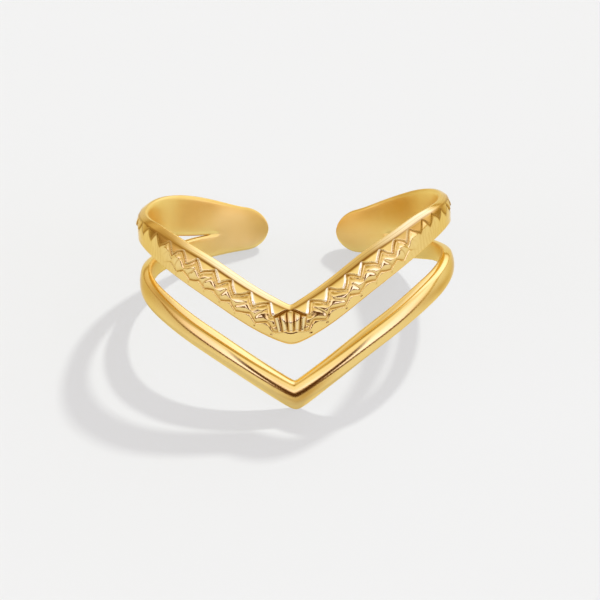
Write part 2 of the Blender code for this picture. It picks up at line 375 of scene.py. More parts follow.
@dataclass(frozen=True)
class PaintedShade:
    """A soft patch of painted shade on a band, darker and browner where the metal reflects dark things
    nearby.
    """

    turn_degrees: float
    turn_reach: float
    share: float
    share_reach: float
    depth: float

    def on(self, turn: Array, share: Array) -> Array:
        """Depth of the patch: a bell curve of the turn and of the share of the band's height.

        Args:
            turn: Column of signed angles.
            share: Shares of the band's height.

        Returns:
            The patch's depth at every place.
        """
        aside = (np.degrees(turn) - self.turn_degrees) / self.turn_reach
        above = (share - self.share) / self.share_reach
        return self.depth * bell(np.hypot(aside, above), 1.0)


def shaded(shades: tuple[PaintedShade, ...], turn: Array, share: Array) -> Array:
    """How deep the painted shade of the patches together is, up to the deepest one allowed."""
    return np.minimum(sum(shade.on(turn, share) for shade in shades), DEEPEST_SHADE)


@dataclass(frozen=True)
class Pattern:
    """Where the places of a grid lie in the relief's pattern."""

    angle: Array
    share: Array
    depth: Array
    count: Array
    worn: Array

    @property
    def aside(self) -> Array:
        """How far a place lies past the nearest tip, in pitches, with the whole fan counted to tip 0."""
        return self.count - np.maximum(np.round(self.count), 0.0)

    @property
    def off_low(self) -> Array:
        """How far a place lies past the nearest low between two tips, in pitches, from -0.5 to 0.5."""
        half = self.count + 0.5
        return half - np.round(half)


@dataclass(frozen=True)
class Relief:
    """The cast relief on the upper band, laid out square to the band below its rim.

    Raised triangles hang from the rim line, with a moulding along their zigzag. Between it and a lower
    zigzag lie pillows with a crease across each, and at the front a fan of flutes. A place is known by the
    angle at which the square line through it meets the rim line, and by its depth below the rim line along
    that square line.
    """

    # The rim: its line as a share of the band's height, the groove there and the scored lines, both darkened
    # with painted shade
    rim_line: float = 0.905
    rim_groove: float = 0.03 * MM
    rim_groove_width: float = 0.05 * MM
    rim_groove_shade: float = 0.7
    rim_scores: tuple[float, ...] = (0.938, 0.962)
    rim_score_width: float = 0.018 * MM
    rim_score_shade: float = 0.3
    rim_shade_fade: float = 0.05 * MM
    # Degrees toward the right, and how much painted highlight the rim has there, or painted shade below 0
    rim_light_and_shade: Rows = (
        (-90.0, -0.2),
        (-72.0, -0.4),
        (-48.0, -0.45),
        (-37.0, -0.1),
        (-26.0, 0.3),
        (-8.0, 0.25),
        (-2.0, 0.0),
        (18.0, 0.0),
        (32.0, 0.15),
        (48.0, 0.35),
        (64.0, 0.5),
        (72.0, -0.1),
        (90.0, -0.1),
    )
    # The triangles: where their tips lie, how deep they hang, and their bevels
    first_tip: float = math.radians(4.15)
    first_pitch: float = math.radians(6.085)
    pitch_growth: float = math.radians(0.115)
    pitch_length: float = 1.2 * MM
    end: float = math.radians(93.0)
    end_length: float = math.radians(5.0)
    high_depth: float = 0.07 * MM
    tip_depth: float = 0.63 * MM
    leg_lean: float = 0.79
    inner_bevel: float = 0.05 * MM
    outer_bevel: float = 0.155 * MM
    bevel_swing: float = 0.3
    bevel_rhythm: float = 2.3
    bevel_reach: float = 1.6
    # The channel below them, the lower zigzag, and how the ribbon between has worn at the sides
    channel_depth: float = 0.10 * MM
    side_channel_depth: float = 0.07 * MM
    lower_high_depth: float = 1.10 * MM
    lower_low_depth: float = 1.42 * MM
    lower_step: float = 0.05 * MM
    lower_start: float = -1.0
    worn_foot: float = 0.3
    fade_start: float = math.radians(38.0)
    fade_end: float = math.radians(56.0)
    # The slow waves that shift the places
    sway_count: float = 0.05
    sway_count_rhythm: float = 3.9
    sway_depth: float = 0.025 * MM
    sway_depth_rhythm: float = 5.3
    sway_length: float = 0.28 * MM
    # The moulding, the pillows with their creases, and the dots
    mould_drop: float = 0.09 * MM
    mould_half: float = 0.07 * MM
    mould_height: float = 0.07 * MM
    pillow_drop: float = 0.17 * MM
    pillow_round: float = 0.32 * MM
    pillow_height: float = 0.10 * MM
    crease_slant: float = 0.40 * MM
    crease_top: float = 0.35 * MM
    crease_run: float = 0.9 * MM
    crease_width: float = 0.045 * MM
    crease_depth: float = 0.05 * MM
    dot_drop: float = 0.14 * MM
    dot_depth: float = 0.02 * MM
    dot_radius: float = 0.06 * MM
    # The fan of flutes
    flute_height: float = 0.16 * MM
    flute_fall: float = 0.75
    flute_fall_top: float = 0.40 * MM
    flute_fall_run: float = 0.95 * MM
    flute_pitch: float = math.radians(2.2)
    flute_spread: float = 0.55
    flute_drop: float = 0.14 * MM
    flute_arch: float = 0.12 * MM
    flute_mid_share: float = 0.5
    fan_end: float = math.radians(5.5)
    # Painted shade along lines and in creases: how dark it is, from 0 to 1, and where its lines lie
    leg_width: float = 0.045 * MM
    worn_leg_width: float = 0.075 * MM
    inner_leg_shade: float = 0.8
    inner_leg_drop: float = 0.02 * MM
    outer_leg_shade: float = 0.7
    outer_leg_worn_shade: float = 0.15
    outer_leg_drop: float = 0.03 * MM
    bevel_shade: float = 0.75
    notch_shade: float = 0.8
    notch_width: float = 0.11 * MM
    notch_drop: float = 0.08 * MM
    notch_length: float = 0.09 * MM
    streak_shade: float = 0.13
    streak_rhythm: float = 24.0
    streak_drift: float = 2.0
    streak_drift_rhythm: float = 2.3
    lower_inner_shade: float = 0.45
    lower_outer_shade: float = 0.85
    lower_line_rise: float = 0.02 * MM
    lower_line_width: float = 0.04 * MM
    pillow_line_shade: float = 0.45
    pillow_line_width: float = 0.03 * MM
    crease_shade: float = 0.55
    pillow_shade: float = 0.5
    dot_shade: float = 0.3
    # Degrees toward the right, and how deep the painted shade on the triangles is there
    facet_shades: Rows = (
        (-82.0, 0.1),
        (-70.0, 0.3),
        (-60.0, 0.85),
        (-50.0, 0.65),
        (-42.0, 0.35),
        (-30.0, 0.0),
        (32.0, 0.0),
        (42.0, 0.2),
        (50.0, 0.5),
        (60.0, 0.45),
        (70.0, 0.85),
        (80.0, 0.15),
    )
    # Painted highlights
    fan_leg_shine: float = 0.7
    inner_leg_shine: float = 0.2
    flute_shine: float = 0.5
    pillow_shine: float = 0.15
    shine_power: int = 4

    def worn(self, angle: Array) -> Array:
        """0 at the front, where the ribbon is crisp, and 1 at the sides, where it has faded away."""
        return smooth_step((angle - self.fade_start) / (self.fade_end - self.fade_start))

    def present(self, angle: Array) -> Array:
        """1 along the decorated front, and 0 behind the sides."""
        return 1.0 - smooth_step((angle - self.end) / self.end_length)

    def laid_out(self, angle: Array, share: Array, drop: Array, slope: Array, radius: float) -> Pattern:
        """Places of a grid in the pattern.

        With t the band's slope, a place that lies h below the rim line has the depth h over the root of
        1 + t^2, and the square line through it meets the rim line h t / (1 + t^2) nearer to the front.
        Tip n of the triangles lies at first + n pitch + n^2 growth, which is solved for n. Slow waves then
        shift the places a little, as in metal that was carved by hand and cast.

        Args:
            angle: Column of angles.
            share: Shares of the band's height.
            drop: Heights below the rim line.
            slope: Column of the band's slopes.
            radius: Radius on which the angles are measured.

        Returns:
            The places.
        """
        foot = angle - drop * slope / (1.0 + slope**2) / radius
        root = self.first_pitch**2 + 4.0 * self.pitch_growth * (foot - self.first_tip)
        count = (np.sqrt(np.maximum(root, 0.0)) - self.first_pitch) / (2.0 * self.pitch_growth)
        depth = drop / np.sqrt(1.0 + slope**2)
        swayed = count + self.sway_count * np.sin(self.sway_count_rhythm * count + depth / self.sway_length)
        depth = depth + self.sway_depth * np.sin(self.sway_depth_rhythm * count - depth / self.sway_length)
        return Pattern(angle, share, depth, swayed, self.worn(angle))

    def legs(self, place: Pattern) -> tuple[Array, Array]:
        """Distances from the inner and from the outer leg of the nearest triangle, positive inside it.

        Args:
            place: Places of the grid.

        Returns:
            The distance from each leg in metres.
        """
        fall = 2.0 * (self.tip_depth - self.high_depth) * place.aside
        inner = (self.tip_depth + fall - place.depth) * self.leg_lean
        outer = (self.tip_depth - fall - place.depth) * self.leg_lean
        return inner, outer

    def bevel(self, place: Pattern) -> Array:
        """Width of a triangle's outer bevel, which rises and falls from one to the next as a sine does."""
        tip = np.maximum(np.round(place.count), 0.0)
        return self.outer_bevel * (1.0 + self.bevel_swing * np.sin(self.bevel_rhythm * tip))

    def on_bevel(self, place: Pattern) -> Array:
        """How far a place lies on a triangle's outer bevel, fading out toward the triangle's middle.

        Args:
            place: Places of the grid.

        Returns:
            Shares from 0 to 1.
        """
        inner, outer = self.legs(place)
        near = smooth_step(self.bevel_reach - outer / self.bevel(place))
        return near * smooth_step(inner / self.inner_bevel) * (outer > 0.0)

    def raised(self, place: Pattern) -> Array:
        """How far a triangle stands out: its distance from a leg over that leg's bevel, up to 1."""
        inner, outer = self.legs(place)
        return np.clip(np.minimum(inner / self.inner_bevel, outer / self.bevel(place)), 0.0, 1.0)

    def below_legs(self, place: Pattern) -> Array:
        """Distance below the zigzag of the triangles' legs."""
        inner, outer = self.legs(place)
        return -np.minimum(inner, outer)

    def above_lower(self, place: Pattern) -> Array:
        """Distance above the lower zigzag, whose highs lie under the triangles' tips.

        It begins at a count of -1, and before that, at the very front, stays at the height of its highs.

        Args:
            place: Places of the grid.

        Returns:
            Distances in metres.
        """
        wave = 2.0 * np.abs(place.count - np.round(place.count))
        wave = np.where(place.count < self.lower_start, 0.0, wave)
        line = self.lower_high_depth + (self.lower_low_depth - self.lower_high_depth) * wave
        return (line - place.depth) * self.leg_lean

    def moulding(self, place: Pattern) -> Array:
        """The round moulding that follows the triangles' zigzag, as a share of its height."""
        across = (self.below_legs(place) - self.mould_drop) / self.mould_half
        return np.sqrt(np.maximum(1.0 - across**2, 0.0))

    def pillow(self, place: Pattern) -> Array:
        """The pillows between the moulding and the lower zigzag, as a share of their height."""
        edge = np.minimum(self.below_legs(place) - self.pillow_drop, self.above_lower(place))
        return np.sqrt(1.0 - (1.0 - np.clip(edge / self.pillow_round, 0.0, 1.0)) ** 2)

    def crease(self, place: Pattern) -> Array:
        """The crease that crosses each pillow on a slant, deepest at 1."""
        sway = smooth_step((place.depth - self.crease_top) / self.crease_run) - 0.5
        return bell(place.off_low * self.pitch_length - self.crease_slant * sway, self.crease_width)

    def spread(self, place: Pattern) -> Array:
        """How wide the fan is at a place, as a share of its width at the middle of the band."""
        return 1.0 + self.flute_spread * (place.share - self.flute_mid_share)

    def flutes(self, place: Pattern) -> tuple[Array, Array]:
        """The fan's flutes, each half a circle across, with an arched top, and lower toward its foot.

        Args:
            place: Places of the grid.

        Returns:
            Height of the flutes as a share of their greatest, and how deep a place is in a gap.
        """
        count = place.angle / (self.flute_pitch * self.spread(place))
        across = 2.0 * np.abs(count - np.round(count))
        inner, _ = self.legs(place)
        arch = np.clip(-(inner + self.flute_drop) / self.flute_arch, 0.0, 1.0)
        fallen = self.flute_fall * smooth_step((place.depth - self.flute_fall_top) / self.flute_fall_run)
        high = np.sqrt(np.maximum(1.0 - across**2, 0.0)) * np.sqrt(1.0 - (1.0 - arch) ** 2) * (1.0 - fallen)
        return high, np.maximum(across**2, (1.0 - arch) ** 2)

    def in_fan(self, place: Pattern) -> Array:
        """1 in the fan and 0 beside it, with half a flute's width between."""
        past = (place.angle / self.spread(place) - self.fan_end) / (0.5 * self.flute_pitch)
        return 1.0 - smooth_step(past + 0.5)

    def sunk(self, place: Pattern) -> Array:
        """Depth of the relief below the band's own surface.

        It is the channel's depth less the height of the ribs in it, and nothing where a triangle or the
        foot fills the channel. Of the moulding and the pillow the higher one counts, and the fan's flutes
        take their place at the front. The dots are sunk into the foot.

        Args:
            place: Places of the grid.

        Returns:
            Depths in metres.
        """
        channel = self.channel_depth + (self.side_channel_depth - self.channel_depth) * place.worn
        raised = self.raised(place)
        filled = np.clip(0.5 - self.above_lower(place) / self.lower_step, 0.0, 1.0)
        foot = 1.0 - smooth_step(place.share / self.worn_foot)
        filled = filled + (foot - filled) * place.worn
        pillow = self.pillow(place)
        ribs = self.pillow_height * pillow - self.crease_depth * self.crease(place) * pillow
        ribs = np.maximum(self.mould_height * self.moulding(place), ribs) * (1.0 - place.worn)
        high, _ = self.flutes(place)
        fan = self.in_fan(place)
        ribs = ribs * (1.0 - fan) + self.flute_height * high * fan
        dots = self.dot_depth * self.dots(place) * (1.0 - place.worn)
        flat = np.maximum(raised, filled)
        return channel * (1.0 - flat) - ribs * (1.0 - flat) + dots * filled

    def dots(self, place: Pattern) -> Array:
        """Small round dots under the lows of the lower zigzag.

        Args:
            place: Places of the grid.

        Returns:
            Shares from 0 to 1, greatest at a dot's middle.
        """
        along = place.off_low * self.pitch_length
        down = place.depth - self.lower_low_depth - self.dot_drop
        return bell(np.hypot(along, down), self.dot_radius) * (place.count > self.lower_start)

    def triangle_lines(self, place: Pattern) -> Array:
        """Painted shade: dark lines along the triangles' legs and in the notches between them, and on the
        worn ones and below them.

        Each line is a bell curve of the distance from it, and the streaks under worn triangles are a sine
        of the count that drifts as another sine does. The deepest shade counts.

        Args:
            place: Places of the grid.

        Returns:
            Shares from 0 to 1.
        """
        inner, outer = self.legs(place)
        on_inner_half = place.aside < 0.0
        width = self.leg_width + (self.worn_leg_width - self.leg_width) * place.worn
        inner_leg = bell((inner + self.inner_leg_drop) / width, 1.0)
        inner_leg = inner_leg * np.where(on_inner_half & (place.count > 0.0), self.inner_leg_shade, 0.0)
        outer_shade = self.outer_leg_shade + self.outer_leg_worn_shade * place.worn
        outer_leg = bell((outer + self.outer_leg_drop) / width, 1.0)
        outer_leg = outer_leg * np.where(on_inner_half, 0.0, outer_shade)
        bevel = self.bevel_shade * self.on_bevel(place) * place.worn
        notch = bell((0.5 - np.abs(place.aside)) * self.pitch_length, self.notch_width)
        notch = notch * bell(place.depth - self.high_depth - self.notch_drop, self.notch_length)
        notch = notch * self.notch_shade * (1.0 - place.worn)
        drift = self.streak_drift * np.sin(self.streak_drift_rhythm * place.count)
        streak = self.streak_shade * (0.5 + 0.5 * np.sin(self.streak_rhythm * place.count + drift))
        streak = streak * place.worn * (outer < 0.0)
        return np.maximum.reduce([inner_leg, outer_leg, bevel, notch, streak])

    def ribbon_lines(self, place: Pattern) -> Array:
        """Painted shade: dark lines along the lower zigzag, round the pillows and in their creases, and dark
        dots.

        Each line is a bell curve of the distance from it, and painted shade darkens the pillows as they fall
        away from their crests. The deepest shade counts.

        Args:
            place: Places of the grid.

        Returns:
            Shares from 0 to 1.
        """
        crisp = 1.0 - place.worn
        below = self.below_legs(place)
        above = self.above_lower(place)
        pillow = self.pillow(place)
        lower = bell(above - self.lower_line_rise, self.lower_line_width)
        lower = lower * np.where(place.aside < 0.0, self.lower_inner_shade, self.lower_outer_shade) * crisp
        outline = self.pillow_line_shade * bell(below - self.pillow_drop, self.pillow_line_width)
        outline = np.maximum(outline, self.crease_shade * self.crease(place) * pillow)
        outline = np.maximum(outline, self.pillow_shade * (1.0 - pillow) * (pillow > 0.0))
        outline = outline * ((below > 0.0) * (above > 0.0) * crisp)
        return np.maximum.reduce([lower, outline, self.dot_shade * self.dots(place) * crisp])

    def painted_shade(self, place: Pattern) -> Array:
        """Painted shade where the metal lies in a crease, and in the fan in the gaps between the flutes.

        Args:
            place: Places of the grid.

        Returns:
            Shares from 0 to 1.
        """
        inner, _ = self.legs(place)
        _, gap = self.flutes(place)
        fan = self.in_fan(place) * (self.above_lower(place) > 0.0) * (inner < 0.0)
        dark = np.maximum(self.triangle_lines(place), self.ribbon_lines(place))
        return np.maximum(dark * (1.0 - fan), gap * fan)

    def bright(self, place: Pattern) -> Array:
        """Painted highlights on outer bevels, inner legs, and crests of flutes and pillows.

        The inner legs are bell curves of the distance from them, and the crests a power of their height.

        Args:
            place: Places of the grid.

        Returns:
            Shares from 0 to 1.
        """
        inner, _ = self.legs(place)
        _, gap = self.flutes(place)
        fan = self.in_fan(place)
        crisp = 1.0 - place.worn
        line = bell(inner - 0.5 * self.inner_bevel, 0.5 * self.inner_bevel) * (place.aside < 0.0)
        line = np.where(place.count < 0.0, self.fan_leg_shine, self.inner_leg_shine) * line
        crest = self.flute_shine * (1.0 - gap) ** self.shine_power * fan
        crest = crest * (self.above_lower(place) > 0.0) * (inner < 0.0)
        pillow = self.pillow_shine * self.pillow(place) ** self.shine_power * (1.0 - fan)
        return np.maximum(self.on_bevel(place) * crisp, np.maximum.reduce([line, crest, pillow]) * crisp)


@dataclass(frozen=True)
class UpperBand:
    """The upper V band: a rounded foot, a domed face with the relief, and a flat rim on top."""

    form: RingForm
    relief: Relief = Relief()
    foot_rows: int = 7
    face_rows: int = 54
    groove_rows: int = 6
    rim_rows: int = 9
    groove_share: float = 0.025
    shoulder: float = 0.11
    foot_power: float = 2.6
    skirt_top: float = 0.31
    skirt_fall: float = 0.13
    dome_start: float = 0.60
    dome_bend: float = 1.4
    dome_fall: float = 0.29
    rim_curve: float = 0.25
    # Painted shade on the band behind the sides
    back_shade: float = 0.22
    slope_step: float = math.radians(0.5)
    slope_start_steps: float = 3.0

    def rows(self) -> Array:
        """Shares of the band's height at which the rows lie, closer together in the rim's groove.

        Returns:
            Rising shares.
        """
        low = self.relief.rim_line - self.groove_share
        high = self.relief.rim_line + self.groove_share
        return np.concatenate([
            self.shoulder * (1.0 - np.cos(np.linspace(0.0, math.pi / 2.0, self.foot_rows + 1)[:-1])),
            np.linspace(self.shoulder, low, self.face_rows + 1)[:-1],
            np.linspace(low, high, self.groove_rows + 1)[:-1],
            np.linspace(high, 1.0, self.rim_rows + 1),
        ])

    def section(self, share: Array) -> Array:
        """The wall's share across the band: a round foot, a skirt, a dome, then the rim's fall.

        The skirt falls straight toward the foot, the dome is 1 - fall d^b, and the rim 1 - (1 - c) t - c t^3,
        with d and t the shares of the way through each.

        Args:
            share: Shares of the band's height.

        Returns:
            Shares of the wall.
        """
        line = self.relief.rim_line
        rise = corner(share / self.shoulder, self.foot_power)
        rise = rise * (1.0 - self.skirt_fall * np.clip(1.0 - share / self.skirt_top, 0.0, 1.0))
        dome = np.clip((share - self.dome_start) / (line - self.dome_start), 0.0, 1.0)
        rim = np.clip((share - line) / (1.0 - line), 0.0, 1.0)
        domed = 1.0 - self.dome_fall * dome**self.dome_bend
        return rise * domed * (1.0 - (1.0 - self.rim_curve) * rim - self.rim_curve * rim**3)

    def rim_height(self, angle: Array) -> Array:
        """Height of the rim line at signed angles."""
        top, bottom, _, _ = self.form.outlines(np.abs(angle))
        return bottom + self.relief.rim_line * (top - bottom)

    def slope(self, angle: Array) -> Array:
        """Slope of the rim line, which keeps its first arm's value right up to the front.

        Args:
            angle: Angles from the front, without sign.

        Returns:
            Metres of height for each metre round the finger.
        """
        start = np.maximum(angle, self.slope_start_steps * self.slope_step)
        rise = self.rim_height(start + self.slope_step) - self.rim_height(start - self.slope_step)
        return rise / (2.0 * self.slope_step * self.form.inner_radius)

    def outer(self, turn: Array) -> Strip:
        """The outer face: the band's own radius, less the depth of its relief and of the rim's groove.

        Args:
            turn: Column of signed angles.

        Returns:
            The strip, from the band's bottom edge to its top edge.
        """
        form = self.form
        relief = self.relief
        angle = np.abs(turn)
        top, bottom, _, _ = form.outlines(angle)
        share = self.rows()[None, :]
        height = bottom + share * (top - bottom)
        drop = self.rim_height(angle) - height
        place = relief.laid_out(angle, share, drop, self.slope(angle), form.inner_radius)
        front = relief.present(angle)
        present = front * smooth_step(share / self.shoulder) * (drop > 0.0)
        groove = bell(drop, relief.rim_groove_width) * front
        depth = relief.sunk(place) * present * (1.0 - groove) + relief.rim_groove * groove
        radius = form.outer_radius(angle, height, share, self.section(share), form.upper_front_wall) - depth
        # Painted shade in the rim's groove and scored lines, on the triangles and behind the sides, and
        # painted highlight and shade along the rim
        scores = sum(
            bell((share - line) * (top - bottom), relief.rim_score_width) for line in relief.rim_scores
        )
        shade = between(relief.rim_light_and_shade, turn) * smooth_step(1.0 - drop / relief.rim_shade_fade)
        rim = np.maximum(relief.rim_score_shade * scores, -shade) * front
        rim = np.maximum(rim, self.back_shade * form.plain(angle))
        facet = between(relief.facet_shades, turn) * relief.raised(place) * present
        groove_line = relief.rim_groove_shade * groove
        painted_shade = np.maximum.reduce([relief.painted_shade(place) * present, groove_line, rim, facet])
        bright = np.maximum(relief.bright(place) * present, shade * front) * (1.0 - painted_shade)
        return Strip(height, radius, painted_shade, bright, Face.OUTWARD)


@dataclass(frozen=True)
class LowerBand:
    """The lower V band, plain and domed, with its crest above the middle in front and below it behind."""

    form: RingForm
    rows: int = 30
    front_crest: float = 0.59
    side_crest: float = 0.38
    crest_end: float = math.radians(65.0)
    bulge: float = 0.92
    foot_share: float = 0.26
    top_share: float = 0.14
    corner_power: float = 2.2
    # Patches of painted shade, where the metal reflects dark things nearby
    shades: tuple[PaintedShade, ...] = (
        PaintedShade(-60.0, 20.0, 0.85, 0.35, 0.36),
        PaintedShade(-82.0, 12.0, 0.60, 0.30, 0.30),
        PaintedShade(-4.0, 7.0, 0.62, 0.14, 0.25),
        PaintedShade(4.0, 8.0, 0.40, 0.14, 0.45),
        PaintedShade(66.0, 14.0, 0.45, 0.18, 0.38),
        PaintedShade(85.0, 9.0, 0.60, 0.30, 0.25),
        PaintedShade(16.0, 9.0, 0.62, 0.12, 0.20),
        PaintedShade(47.0, 12.0, 0.62, 0.14, 0.20),
        PaintedShade(-34.0, 12.0, 0.62, 0.14, 0.15),
    )

    def section(self, angle: Array, share: Array) -> Array:
        """The wall's share across the band: a parabola about the crest, with a round foot and top corner.

        Args:
            angle: Column of angles.
            share: Shares of the band's height.

        Returns:
            Shares of the wall.
        """
        crest = self.front_crest + (self.side_crest - self.front_crest) * smooth_step(angle / self.crest_end)
        foot = corner(share / self.foot_share, self.corner_power)
        top = corner((1.0 - share) / self.top_share, self.corner_power)
        return (1.0 - self.bulge * (share - crest) ** 2) * foot * top

    def outer(self, turn: Array) -> Strip:
        """The outer face: the band's own section, which becomes the pad's beyond the split.

        Args:
            turn: Column of signed angles.

        Returns:
            The strip, from the band's bottom edge to its top edge.
        """
        form = self.form
        angle = np.abs(turn)
        _, _, top, bottom = form.outlines(angle)
        share = eased(self.rows)[None, :]
        height = bottom + share * (top - bottom)
        section = self.section(angle, share)
        radius = form.outer_radius(angle, height, share, section, form.lower_front_wall)
        return Strip(height, radius, shaded(self.shades, turn, share), np.zeros_like(radius), Face.OUTWARD)


@dataclass(frozen=True)
class InnerFace:
    """The face of a band that lies against the finger: flat, with eased edges."""

    form: RingForm
    upper: bool
    rows: int = 10
    flat_power: float = 5.0
    # Patches of painted shade on the inner faces of the bands and pads
    upper_shades: tuple[PaintedShade, ...] = (
        PaintedShade(-146.0, 26.0, 1.00, 0.40, 0.55),
        PaintedShade(165.0, 22.0, 0.80, 0.65, 0.75),
        PaintedShade(132.0, 16.0, 0.70, 0.50, 0.65),
    )
    lower_shades: tuple[PaintedShade, ...] = (
        PaintedShade(-80.0, 16.0, 0.50, 0.80, 0.20),
        PaintedShade(140.0, 20.0, 1.00, 0.30, 0.25),
    )

    def inner(self, turn: Array) -> Strip:
        """The inner face: the inner radius plus the edges' share of the wall, less a flat superellipse of it.

        Args:
            turn: Column of signed angles.

        Returns:
            The strip, from the band's bottom edge to its top edge.
        """
        form = self.form
        angle = np.abs(turn)
        edges = form.outlines(angle)
        top, bottom = edges[:2] if self.upper else edges[2:]
        front_wall = form.upper_front_wall if self.upper else form.lower_front_wall
        share = eased(self.rows)[None, :]
        height = bottom + share * (top - bottom)
        blend = form.joined(angle)
        own = rounded(share, self.flat_power) * (1.0 - blend)
        own = own + rounded(form.pad_share(angle, height), self.flat_power) * blend
        radius = form.inner_radius + form.edge_share * form.wall(front_wall, angle) * (1.0 - own)
        shades = self.upper_shades if self.upper else self.lower_shades
        return Strip(height, radius, shaded(shades, turn, share), np.zeros_like(radius), Face.INWARD)


@dataclass(frozen=True)
class Wiring:
    """Adds nodes to one node tree and joins them."""

    tree: bpy.types.NodeTree

    def feed(self, node: bpy.types.Node, name: str | int, source: object) -> None:
        """Gives an input of a node its value.

        Args:
            node: The node.
            name: The input's name or number.
            source: Another node's output, or the value itself.
        """
        if isinstance(source, Socket):
            self.tree.links.new(source, node.inputs[name])
        else:
            node.inputs[name].default_value = source

    def node(self, kind: str, inputs: dict[str | int, object], **settings: object) -> bpy.types.Node:
        """Adds a node.

        Args:
            kind: The node's type, without the word ShaderNode in front.
            inputs: What goes into its inputs, an output or a value each, by name or number.
            **settings: Values of the node's own properties.

        Returns:
            The node.
        """
        node = self.tree.nodes.new("ShaderNode" + kind)
        for name, value in settings.items():
            setattr(node, name, value)
        for name, source in inputs.items():
            self.feed(node, name, source)
        return node

    def numbers(self, operation: str, *inputs: Socket | float) -> Socket:
        """The number that a math operation makes of its inputs."""
        return self.node("Math", dict(enumerate(inputs)), operation=operation).outputs["Value"]

    def vectors(self, operation: str, *inputs: Source) -> Socket:
        """The vector, or for a dot product the number, that a vector operation makes of its inputs."""
        node = self.node("VectorMath", dict(enumerate(inputs)), operation=operation)
        return node.outputs["Value" if operation == "DOT_PRODUCT" else "Vector"]

    def mixed(self, share: Socket, first: Source, second: Source) -> Socket:
        """The first colour, mixed with a share of the second."""
        inputs = {"Factor": share, "A": first, "B": second}
        return self.node("Mix", inputs, data_type="RGBA").outputs["Result"]

    def noise(self, place: Socket, size: float, detail: float) -> Socket:
        """Noise with spots of a size, in metres."""
        inputs = {"Vector": place, "Scale": 1.0 / size, "Detail": detail}
        return self.node("TexNoise", inputs).outputs["Fac"]

    def attribute(self, name: str) -> Socket:
        """A number that the mesh keeps at each of its points."""
        return self.node("Attribute", {}, attribute_name=name).outputs["Fac"]

    def ramp(self, source: Socket, places: Array, colours: Array) -> Socket:
        """A colour ramp.

        Args:
            source: Where on the ramp the colour is read.
            places: Rising places from 0 to 1.
            colours: The colour at each place, one row each.

        Returns:
            The colour.
        """
        node = self.node("ValToRGB", {"Fac": source})
        elements = node.color_ramp.elements
        while len(elements) < len(places):
            elements.new(0.5)
        for element, place, colour in zip(elements, places, colours):
            element.position = place
            element.color = (*colour, 1.0)
        return node.outputs["Color"]


